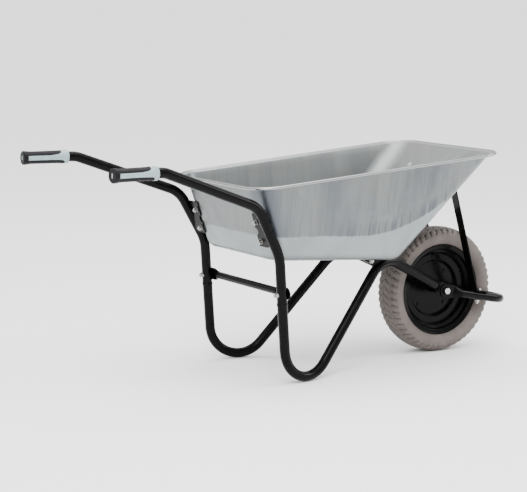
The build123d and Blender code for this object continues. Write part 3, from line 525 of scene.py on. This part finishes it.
def bead_rings(rim, tops_inner, bead, sheet):
    """Rings over the lip and round the rolled edge, from the top of the lip to its under side."""
    centres = rim.points(bead, RIM_CORNER)
    lean = math.asin(sheet / 2 / bead)
    turns = [math.pi - lean - n * (2 * math.pi - 2 * lean) / BEAD_STEPS for n in range(BEAD_STEPS + 1)]
    columns = []
    for inner, centre in zip(tops_inner, centres):
        level = inner - rim.up * (inner - centre).dot(rim.up)
        out = (centre - level).normalized()
        columns.append([centre + out * (bead * math.cos(t)) + rim.up * (bead * math.sin(t)) for t in turns])
    return [list(ring) for ring in zip(*columns)]


def band_edge(point, settings):
    """Height of the smooth band above the floor: low along the sides, climbing round the front."""
    along = (point.x - FLOOR_REAR.x) / (FLOOR_FRONT.x - FLOOR_REAR.x)
    climb = BAND_CLIMB * max(0.0, along - BAND_CLIMB_FROM) ** 2
    dip = BAND_DIP * max(0.0, BAND_DIP_FROM - along)
    return settings.band_height - dip + min(BAND_CLIMB_LIMIT, climb)


def rubbed_share(point):
    """How much of the dark rub marks shows above the band: most along the front half of the sides."""
    along = (point.x - FLOOR_REAR.x) / (FLOOR_FRONT.x - FLOOR_REAR.x)
    return min(1.0, max(0.12, 2.4 * along - 0.7))


def corner_painted_reflection(column):
    """Painted reflection: a dark band up the two rear corners, where the sheet mirrors dark surroundings."""
    run = ARC_STEPS + EDGE_STEPS
    corner, step = divmod(column, run)
    if corner not in REFLECTION_MIDDLE or step > ARC_STEPS:
        return 0.0
    return math.exp(-((step / ARC_STEPS - REFLECTION_MIDDLE[corner]) / REFLECTION_WIDTH) ** 2)


def streak_places(ring):
    """Place of each point round a ring, in metres: along X on the sides, so that streaks stand upright."""
    size = len(ring)
    places = [0.0] * size
    for side in (-1, 1):
        members = [k for k in range(size) if ring[k].y * side >= -1e-6]
        start = min(members, key=lambda k: abs(ring[k].x - AXLE.x + 0.5) - 0.01 * abs(ring[k].y))
        for step in (-1, 1):
            here = start
            places[start] = ring[start].x
            ahead = 1 if ring[(start + step) % size].x > ring[start].x else -1
            while (here + step) % size in members:
                there = (here + step) % size
                places[there] = places[here] + ahead * (ring[there] - ring[here]).length
                here = there
                if here == start:
                    break
    return places


def build_tray(settings, material):
    """The sheet as one closed mesh: inner face, rolled edge and outer face, each ring of equal size."""
    floor = SlopedOutline(FLOOR_REAR, FLOOR_FRONT, FLOOR_HALF, FLOOR_HALF, FLOOR_CORNER)
    rim = SlopedOutline(RIM_REAR, RIM_FRONT, RIM_REAR_HALF, RIM_FRONT_HALF, RIM_CORNER)
    half = settings.sheet / 2
    inner = wall_profile(floor, rim, settings.sheet, settings.sheet, settings.bottom_round - settings.sheet,
                         settings.lip_round + settings.sheet, half)
    outer = wall_profile(floor, rim, 0.0, 0.0, settings.bottom_round, settings.lip_round, -half)
    bead = bead_rings(rim, inner[-1], settings.bead, settings.sheet)

    def floor_rings(edge_ring):
        middle = sum(edge_ring, Vector()) / len(edge_ring)
        return [[middle.lerp(p, share) for p in edge_ring] for share in FLOOR_SHARES]

    rings = floor_rings(inner[0]) + inner + bead + outer[::-1] + floor_rings(outer[0])[::-1]
    size = len(rings[0])
    vertices = [p for ring in rings for p in ring]
    faces = rings_to_faces(len(rings), size)
    faces.append(tuple(range(size))[::-1])
    faces.append(tuple(range(len(vertices) - size, len(vertices))))
    tray = finish_piece("tray_sheet", vertices, faces, material)
    face_outwards(tray)

    around = [streak_places(ring) for ring in rings]
    up = [[0.0] * size]
    for before, here in zip(rings, rings[1:]):
        up.append([h + (q - p).length for h, p, q in zip(up[-1], before, here)])
    layer = tray.data.uv_layers.new(name="sheet")
    for loop in tray.data.loops:
        ring, column = divmod(loop.vertex_index, size)
        layer.data[loop.index].uv = (around[ring][column], up[ring][column])
    first_bead = len(rings) - len(floor_rings(outer[0])) - len(outer) - len(bead)
    on_edge = range(first_bead - 3, first_bead + len(bead) + 1)
    keep_values(tray, "above_band", [(p - floor.rear).dot(floor.up) - band_edge(p, settings) for p in vertices])
    keep_values(tray, "rubbed", [rubbed_share(p) for p in vertices])
    # Mask of the painted dark reflection up the two rear corners.
    keep_values(tray, "painted_reflection", [corner_painted_reflection(k % size) for k in range(len(vertices))])
    # Mask of the inner face, which the material lightens as painted light.
    keep_values(tray, "inside_painted_light", [float(k // size < first_bead) for k in range(len(vertices))])
    # Mask of the rolled edge, where the material paints a highlight line and smooths the sheet.
    keep_values(tray, "rolled_edge", [float(k // size in on_edge) for k in range(len(vertices))])
    return tray


# ---------------------------------------------------------------- wheel
RIM_SHEET = 0.002
CURL_RADIUS = 0.0021
CURL_STEPS = 8
CURL_START = 20         # degrees from straight out to where the curled edge starts
# Each half as (across, radius) points, with the radius of each inner corner.
RIGHT_LINE = (
    (0.012, 0.014), (0.012, 0.086), (0.0, 0.092), (0.0, 0.112), (-0.0115, 0.1175), (-0.0178, 0.1270),
    (-0.028, 0.130), (-0.0305, 0.1405), (-0.0325, 0.1440),
)
RIGHT_ROUNDS = (0.004, 0.004, 0.004, 0.003, 0.003, 0.003, 0.002)
LEFT_LINE = (
    (0.0162, 0.014), (0.0162, 0.108), (0.0185, 0.118), (0.023, 0.127), (0.028, 0.130), (0.0305, 0.1405),
    (0.0325, 0.1440),
)
LEFT_ROUNDS = (0.004, 0.004, 0.003, 0.003, 0.002)


def build_rims(material):
    """Two pressed halves: the right one has the deep dish, the left one closes the back."""
    right = rounded_line(RIGHT_LINE, RIGHT_ROUNDS)
    left = rounded_line(LEFT_LINE, LEFT_ROUNDS)
    pieces = []
    for name, line, side in (("rim_pressing_right", right, 1), ("rim_pressing_left", left, -1)):
        line = crisp_line(line)
        back = offset_line(line, RIM_SHEET * side)
        middle = ((line[-1][0] + back[-1][0]) / 2, (line[-1][1] + back[-1][1]) / 2)
        first = CURL_START if side > 0 else 180 - CURL_START
        sweep = 360 - 2 * CURL_START
        curl = []
        for n in range(CURL_STEPS + 1):
            turn = math.radians(first + side * sweep * n / CURL_STEPS)
            curl.append((middle[0] + CURL_RADIUS * math.cos(turn), middle[1] + CURL_RADIUS * math.sin(turn)))
        pieces.append(lathe(name, line + back[::-1], material))
        pieces.append(lathe(name + "_edge", curl, material))
    return pieces


def crisp_line(line, reach=0.0008):
    """The same line with points close to both ends of its long runs, so that flats stay flat."""
    points = [line[0]]
    for (x, y), (u, v) in zip(line, line[1:]):
        size = math.hypot(u - x, v - y)
        if size > 5 * reach:
            share = reach / size
            points.append((x + (u - x) * share, y + (v - y) * share))
            points.append((u - (u - x) * share, v - (v - y) * share))
        points.append((u, v))
    return points


def offset_line(line, distance):
    """The same line moved sideways by a distance."""
    moved = []
    for k, (x, y) in enumerate(line):
        before = line[max(0, k - 1)]
        after = line[min(len(line) - 1, k + 1)]
        dx, dy = after[0] - before[0], after[1] - before[1]
        size = math.hypot(dx, dy)
        moved.append((x + dy / size * distance, y - dx / size * distance))
    return moved


SHOULDER_BAND = 0.009   # width of the rounded shoulder at each side of the crown
CROWN_DROP = 0.0070     # how far the crown falls from its middle to the shoulder
SHOULDER_DROP = 0.0125  # how far the shoulder falls from there to the side


def crown_radius(across, depth=0.0):
    """Radius of the tyre's outside at a distance across it."""
    flat = TYRE_HALF - SHOULDER_BAND
    share = min(1.0, abs(across) / flat)
    over = max(0.0, abs(across) - flat) / SHOULDER_BAND
    return WHEEL_RADIUS - CROWN_DROP * share ** 2.2 - SHOULDER_DROP * over ** 1.7 - depth


# The tyre's side from the shoulder to the bead: distance in from its widest place, and radius.
TYRE_SIDE = (
    (0.0022, 0.1835), (0.0006, 0.1775), (0.0002, 0.1720), (0.0010, 0.1660), (0.0034, 0.1590), (0.0072, 0.1530),
    (0.0112, 0.1490), (0.0140, 0.1468), (0.0195, 0.1450), (0.0215, 0.1335),
)
CROWN_POINTS = range(-44, 45, 4)        # millimetres across


def tyre_line(settings):
    """Closed outline of the tyre as (across, radius) pairs, lowered to the bottom of its grooves."""
    crown = []
    for millimetres in CROWN_POINTS:
        across = millimetres / 1000
        depth = settings.lug_depth if abs(across) > SHOULDER_FROM - LUG_MARGIN else settings.groove_depth
        crown.append((across, crown_radius(across, depth)))
    side = [(TYRE_HALF - inset, radius) for inset, radius in TYRE_SIDE]
    left = [(-x, r) for x, r in reversed(side)]
    return left + crown + side


# Tread pads across the tyre: from, to, lean per metre across, and their place round the pitch.
CENTRE_PADS = ((0.0006, 0.0146, 0.95, 0.0), (0.0154, 0.0290, 0.95, 0.30))
SHOULDER_FROM = 0.0282
SHOULDER_TO = 0.0477
SHOULDER_LEAN = 0.45
LUG_MARGIN = 0.002      # how far the deep gaps reach past the lugs, towards the middle
PAD_ROUND = 0.0007
PAD_FOOT = 0.001        # how far each pad's foot sinks into the carcass
PAD_ROWS = 4
PAD_CELLS = 4


def pad_grid(low, high, place, half_turn):
    """Points of one tread pad: its foot, its edge just under the top, and its top."""
    rows, cells = PAD_ROWS, PAD_CELLS
    lean, turned, depth, crowned = place
    levels = []
    for shrink, sink in ((0.0, depth + PAD_FOOT), (0.0, PAD_ROUND), (1.0, 0.0)):
        level = []
        for r in range(rows + 1):
            across = low + (high - low) * r / rows
            across += shrink * PAD_ROUND * ((r == 0) - (r == rows)) * (1 if high > low else -1)
            for c in range(cells + 1):
                turn = turned - lean * abs(across) / WHEEL_RADIUS + half_turn * (2 * c / cells - 1)
                turn += shrink * PAD_ROUND / WHEEL_RADIUS * ((c == 0) - (c == cells))
                radius = crown_radius(across, max(sink, min(sink + crowned * (2 * c / cells - 1) ** 2, depth)))
                level.append(Vector((radius * math.sin(turn), across, radius * math.cos(turn))))
        levels.append(level)
    return levels


def pad_faces(base):
    """Faces of a closed pad whose three levels start at a vertex number."""
    rows, cells = PAD_ROWS, PAD_CELLS
    wide = cells + 1
    layer = (rows + 1) * wide
    border = list(range(wide))
    border += [(r + 1) * wide - 1 for r in range(1, rows + 1)]
    border += [rows * wide + c for c in range(cells - 1, -1, -1)]
    border += [r * wide for r in range(rows - 1, 0, -1)]
    faces = []
    for start in (base, base + layer):
        for k, here in enumerate(border):
            there = border[(k + 1) % len(border)]
            faces.append((start + here, start + there, start + layer + there, start + layer + here))
    for start in (base, base + 2 * layer):
        for r in range(rows):
            for c in range(cells):
                a = start + r * wide + c
                faces.append((a, a + 1, a + wide + 1, a + wide))
    return faces


def tread_sector(settings, material):
    """One pitch of the tread: leaning pads in two rows each side of the middle, and a lug at each shoulder."""
    pitch = 2 * math.pi / settings.blocks
    fine = (pitch - settings.groove / WHEEL_RADIUS) / 2
    lug = (pitch - settings.shoulder_gap / WHEEL_RADIUS) / 2
    vertices = []
    faces = []
    for side in (-1, 1):
        pads = [(low, high, (lean, share * pitch, settings.groove_depth, 0.0), fine)
                for low, high, lean, share in CENTRE_PADS]
        shoulder = (SHOULDER_LEAN, 0.0, settings.lug_depth, settings.lug_crown)
        pads.append((SHOULDER_FROM, SHOULDER_TO, shoulder, lug))
        for low, high, place, half_turn in pads:
            faces += pad_faces(len(vertices))
            for level in pad_grid(side * low, side * high, place, half_turn):
                vertices += level
    sector = finish_piece("tyre_tread", vertices, faces, material, smooth=False)
    face_outwards(sector)
    return sector


def ring_tree(material):
    """Geometry nodes that repeat a shape round the axle."""
    tree = bpy.data.node_groups.new("repeat_round_axle", "GeometryNodeTree")
    sockets = tree.interface
    sockets.new_socket("Geometry", in_out="INPUT", socket_type="NodeSocketGeometry")
    sockets.new_socket("Count", in_out="INPUT", socket_type="NodeSocketInt")
    sockets.new_socket("Axle", in_out="INPUT", socket_type="NodeSocketVector")
    sockets.new_socket("Geometry", in_out="OUTPUT", socket_type="NodeSocketGeometry")
    given = tree.nodes.new("NodeGroupInput")
    points = tree.nodes.new("GeometryNodePoints")
    repeat = tree.nodes.new("GeometryNodeInstanceOnPoints")
    index = tree.nodes.new("GeometryNodeInputIndex")
    step = tree.nodes.new("ShaderNodeMath")
    step.operation = "DIVIDE"
    step.inputs[0].default_value = 2 * math.pi
    turn = tree.nodes.new("ShaderNodeMath")
    turn.operation = "MULTIPLY"
    rotation = tree.nodes.new("ShaderNodeCombineXYZ")
    real = tree.nodes.new("GeometryNodeRealizeInstances")
    place = tree.nodes.new("GeometryNodeTransform")
    paint = tree.nodes.new("GeometryNodeSetMaterial")
    paint.inputs["Material"].default_value = material
    result = tree.nodes.new("NodeGroupOutput")
    link = tree.links.new
    link(given.outputs["Count"], points.inputs["Count"])
    link(given.outputs["Count"], step.inputs[1])
    link(index.outputs["Index"], turn.inputs[0])
    link(step.outputs["Value"], turn.inputs[1])
    link(turn.outputs["Value"], rotation.inputs["Y"])
    link(points.outputs["Points"], repeat.inputs["Points"])
    link(given.outputs["Geometry"], repeat.inputs["Instance"])
    link(rotation.outputs["Vector"], repeat.inputs["Rotation"])
    link(repeat.outputs["Instances"], real.inputs["Geometry"])
    link(real.outputs["Geometry"], place.inputs["Geometry"])
    link(given.outputs["Axle"], place.inputs["Translation"])
    link(place.outputs["Geometry"], paint.inputs["Geometry"])
    link(paint.outputs["Geometry"], result.inputs["Geometry"])
    return tree


def repeat_round_axle(piece, count, material):
    """Repeats a piece's mesh round the axle and leaves a plain mesh."""
    tree = ring_tree(material)
    modifier = piece.modifiers.new("repeat", "NODES")
    modifier.node_group = tree
    names = {item.name: item.identifier for item in tree.interface.items_tree if item.in_out == "INPUT"}
    modifier[names["Count"]] = count
    modifier[names["Axle"]] = tuple(AXLE)
    bpy.context.view_layer.update()
    evaluated = piece.evaluated_get(bpy.context.evaluated_depsgraph_get())
    mesh = bpy.data.meshes.new_from_object(evaluated)
    mesh.name = piece.name
    piece.modifiers.remove(modifier)
    piece.data = mesh


# ---------------------------------------------------------------- frame details
LEG_TOP = Vector((AXLE.x - 0.727, 0.2145, 0.378))
LEG_FOOT = Vector((AXLE.x - 0.689, 0.2145, -0.122))
JOINT_HEIGHT = 0.240
FRAME_TUBE = 0.015
RING_BEAD = 0.0016
RING_GROOVE = 0.0008
RING_HALF = 0.0042      # half the length of the ring along the leg
RING_FLAT = 0.0030      # where the flat beside the bead starts
RING_STEPS = 48
BEAD_ARC_STEPS = 6


def build_joint_ring(name, side, material):
    """The bead between two grooves where the lower tube plugs into the upper one."""
    top = Vector((LEG_TOP.x, side * LEG_TOP.y, LEG_TOP.z))
    foot = Vector((LEG_FOOT.x, side * LEG_FOOT.y, LEG_FOOT.z))
    along = (foot - top).normalized()
    centre = top + along * ((top.z - JOINT_HEIGHT) / -along.z)
    across = along.cross(Vector((0, 1, 0))).normalized()
    other = along.cross(across)
    line = [(-RING_HALF, -RING_GROOVE), (-RING_HALF, RING_GROOVE), (-RING_FLAT, RING_GROOVE)]
    for n in range(BEAD_ARC_STEPS + 1):
        turn = math.pi * n / BEAD_ARC_STEPS
        line.append((-RING_BEAD * math.cos(turn), RING_GROOVE + 0.5 * RING_BEAD * math.sin(turn)))
    line += [(RING_FLAT, RING_GROOVE), (RING_HALF, RING_GROOVE), (RING_HALF, -RING_GROOVE)]
    vertices = []
    for place, height in line:
        for k in range(RING_STEPS):
            turn = 2 * math.pi * k / RING_STEPS
            out = across * math.cos(turn) + other * math.sin(turn)
            vertices.append(centre + along * place + out * (FRAME_TUBE + height))
    faces = rings_to_faces(len(line), RING_STEPS, closed_line=True)
    ring = finish_piece(name, vertices, faces, material)
    face_outwards(ring)
    return ring


# ---------------------------------------------------------------- operators
RIM_ROUGHNESS = 0.20
HUB_ROUGHNESS = 0.22
JOINT_ROUGHNESS = 0.12
BUSH_COLOUR = (0.58, 0.57, 0.54)
DULL_ZINC = (0.30, 0.315, 0.325)
TYRE_STEPS = 192


class BARROW_OT_tray(Operator):
    """Builds the pressed tray"""
    bl_idname = "barrow.tray"
    bl_label = "Build tray"

    def execute(self, context):
        settings = context.scene.barrow_tray
        tray = build_tray(settings, galvanised_sheet(settings))
        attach(tray, "chassis")
        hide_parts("tray")
        return {"FINISHED"}


class BARROW_OT_rims(Operator):
    """Builds the two pressed halves of the rim"""
    bl_idname = "barrow.rims"
    bl_label = "Build rims"

    def execute(self, context):
        paint = gloss_paint("wheel_paint", context.scene.barrow_finish, RIM_ROUGHNESS)
        right, right_edge, left, left_edge = build_rims(paint)
        for piece in (right, right_edge, left, left_edge):
            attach(piece, "wheel")
        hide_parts("rim_half_right")
        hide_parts("rim_half_left")
        return {"FINISHED"}


class BARROW_OT_tyre(Operator):
    """Builds the tyre and its tread blocks"""
    bl_idname = "barrow.tyre"
    bl_label = "Build tyre"

    def execute(self, context):
        settings = context.scene.barrow_wheel
        rubber = tyre_rubber(settings)
        carcass = lathe("tyre_carcass", tyre_line(settings), rubber, TYRE_STEPS)
        tread = tread_sector(settings, rubber)
        repeat_round_axle(tread, settings.blocks, rubber)
        for piece in (carcass, tread):
            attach(piece, "wheel")
        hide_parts("tyre")
        return {"FINISHED"}


class BARROW_OT_joints(Operator):
    """Builds the rings at the joints of the legs"""
    bl_idname = "barrow.joints"
    bl_label = "Build leg joints"

    def execute(self, context):
        paint = gloss_paint("joint_paint", context.scene.barrow_finish, JOINT_ROUGHNESS)
        for name, side in (("right", -1), ("left", 1)):
            ring = build_joint_ring("joint_ring_" + name, side, paint)
            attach(ring, "chassis")
        return {"FINISHED"}


class BARROW_OT_finishes(Operator):
    """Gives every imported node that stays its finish"""
    bl_idname = "barrow.finishes"
    bl_label = "Apply finishes"

    def execute(self, context):
        settings = context.scene.barrow_finish
        slots = {
            "frame_paint": gloss_paint("frame_paint", settings, settings.paint_roughness),
            "wheel_paint": gloss_paint("hub_paint", settings, HUB_ROUGHNESS),
            "grip_rubber": soft_rubber(settings),
            "grip_core": moulded_plastic("grip_core", settings.core),
            "zinc_plate": zinc_plate(settings),
            "bush_plastic": moulded_plastic("bush_plastic", BUSH_COLOUR),
        }
        dull = moulded_plastic("dull_zinc", DULL_ZINC, 0.5)
        for entry in frame["record"]["subparts"]:
            node = frame["nodes"][entry["node"]]
            finish = slots.get(entry["material_slot"])
            if entry["node"] == "tray_bolts":
                finish = dull
            if entry["node"] in ("rim_rivets", "valve_plug"):
                finish = slots["wheel_paint"]
            if finish is not None:
                for slot in node.material_slots:
                    slot.material = finish
        return {"FINISHED"}


FLOOR_REACH = 2000.0    # far enough that the floor has no visible end
SIGHT_LIMIT = 6000.0
LIGHTS_AIM = Vector((0, 0, 0.35))
LIGHTS = (              # name, place, width, share of the main light's power
    ("key_light", (-2.2, -2.6, 3.4), 2.6, 1.0),
    ("top_light", (0.4, 0.2, 3.8), 3.0, 0.6),
    ("front_light", (3.2, -1.4, 1.8), 1.6, 0.3),
)
CAMERA_TURN = math.radians(57.867)
CAMERA_DROP = math.radians(8.1485)
CAMERA_ROLL = math.radians(0.5814)
CAMERA_AIM = Vector((AXLE.x - 0.64785, 0, 0.37958))


class BARROW_OT_stage(Operator):
    """Makes the floor, the soft lights and the camera"""
    bl_idname = "barrow.stage"
    bl_label = "Make stage"

    def execute(self, context):
        settings = context.scene.barrow_stage
        self.make_floor(settings)
        self.make_lights(context, settings)
        self.make_camera(context, settings)
        return {"FINISHED"}

    def make_floor(self, settings):
        """A wide pale floor."""
        finish = Finish("floor")
        finish.set(Base_Color=(*settings.floor, 1.0), Roughness=0.9)
        size = FLOOR_REACH
        corners = [(-size, -size, 0), (size, -size, 0), (size, size, 0), (-size, size, 0)]
        floor = finish_piece("floor", corners, [(0, 1, 2, 3)], finish.material)

    def make_lights(self, context, settings):
        """An even sky, brighter above, and three soft lights."""
        world = bpy.data.worlds.new("studio")
        world.use_nodes = True
        nodes = world.node_tree.nodes
        link = world.node_tree.links.new
        place = nodes.new("ShaderNodeTexCoord")
        split = nodes.new("ShaderNodeSeparateXYZ")
        fade = nodes.new("ShaderNodeMapRange")
        fade.inputs["To Min"].default_value = settings.horizon
        fade.inputs["To Max"].default_value = settings.sky
        link(place.outputs["Generated"], split.inputs["Vector"])
        link(split.outputs["Z"], fade.inputs["Value"])
        link(fade.outputs["Result"], nodes["Background"].inputs["Strength"])
        nodes["Background"].inputs["Color"].default_value = (1.0, 1.0, 1.0, 1.0)
        context.scene.world = world
        for name, place, size, power in LIGHTS:
            data = bpy.data.lights.new(name, "AREA")
            data.shape = "DISK"
            data.size = size
            data.energy = power * settings.key
            light = bpy.data.objects.new(name, data)
            context.scene.collection.objects.link(light)
            light.location = place
            light.rotation_euler = (LIGHTS_AIM - light.location).to_track_quat("-Z", "Y").to_euler()

    def make_camera(self, context, settings):
        """The camera that gives the main view."""
        turn, drop, roll = CAMERA_TURN, CAMERA_DROP, CAMERA_ROLL
        forward = Vector((math.cos(turn) * math.cos(drop), math.sin(turn) * math.cos(drop), -math.sin(drop)))
        right = Vector((math.sin(turn), -math.cos(turn), 0))
        up = right.cross(forward)
        rolled_right = right * math.cos(roll) + up * math.sin(roll)
        rolled_up = up * math.cos(roll) - right * math.sin(roll)
        data = bpy.data.cameras.new("camera")
        data.sensor_width = 36.0
        data.lens = settings.lens
        data.clip_end = SIGHT_LIMIT
        camera = bpy.data.objects.new("camera", data)
        context.scene.collection.objects.link(camera)
        turn_to = Matrix((rolled_right, rolled_up, -forward)).transposed().to_4x4()
        camera.matrix_world = Matrix.Translation(CAMERA_AIM - forward * settings.distance) @ turn_to
        context.scene.camera = camera


class BARROW_PT_panel(Panel):
    """Lists the barrow's operators and settings"""
    bl_idname = "BARROW_PT_panel"
    bl_label = "Barrow"
    bl_space_type = "VIEW_3D"
    bl_region_type = "UI"
    bl_category = "Barrow"

    def draw(self, context):
        for name, operators in PANEL_ROWS:
            box = self.layout.box()
            settings = getattr(context.scene, name)
            for key in settings.bl_rna.properties.keys():
                if key not in ("rna_type", "name"):
                    box.prop(settings, key)
            for operator in operators:
                box.operator(operator)


PANEL_ROWS = (
    ("barrow_tray", ("barrow.tray",)),
    ("barrow_wheel", ("barrow.tyre", "barrow.rims")),
    ("barrow_finish", ("barrow.joints", "barrow.finishes")),
    ("barrow_stage", ("barrow.stage",)),
)
GROUPS = {
    "barrow_tray": BarrowTraySettings,
    "barrow_wheel": BarrowWheelSettings,
    "barrow_finish": BarrowFinishSettings,
    "barrow_stage": BarrowStageSettings,
}
CLASSES = (
    *GROUPS.values(), BARROW_OT_tray, BARROW_OT_rims, BARROW_OT_tyre, BARROW_OT_joints, BARROW_OT_finishes,
    BARROW_OT_stage, BARROW_PT_panel,
)


def register():
    for cls in CLASSES:
        bpy.utils.register_class(cls)
    for name, group in GROUPS.items():
        setattr(bpy.types.Scene, name, PointerProperty(type=group))


def unregister():
    for name in GROUPS:
        delattr(bpy.types.Scene, name)
    for cls in reversed(CLASSES):
        bpy.utils.unregister_class(cls)


def main():
    register()
    bpy.ops.barrow.stage()
    bpy.ops.barrow.tray()
    bpy.ops.barrow.rims()
    bpy.ops.barrow.tyre()
    bpy.ops.barrow.joints()
    bpy.ops.barrow.finishes()


if __name__ == "__main__":
    main()
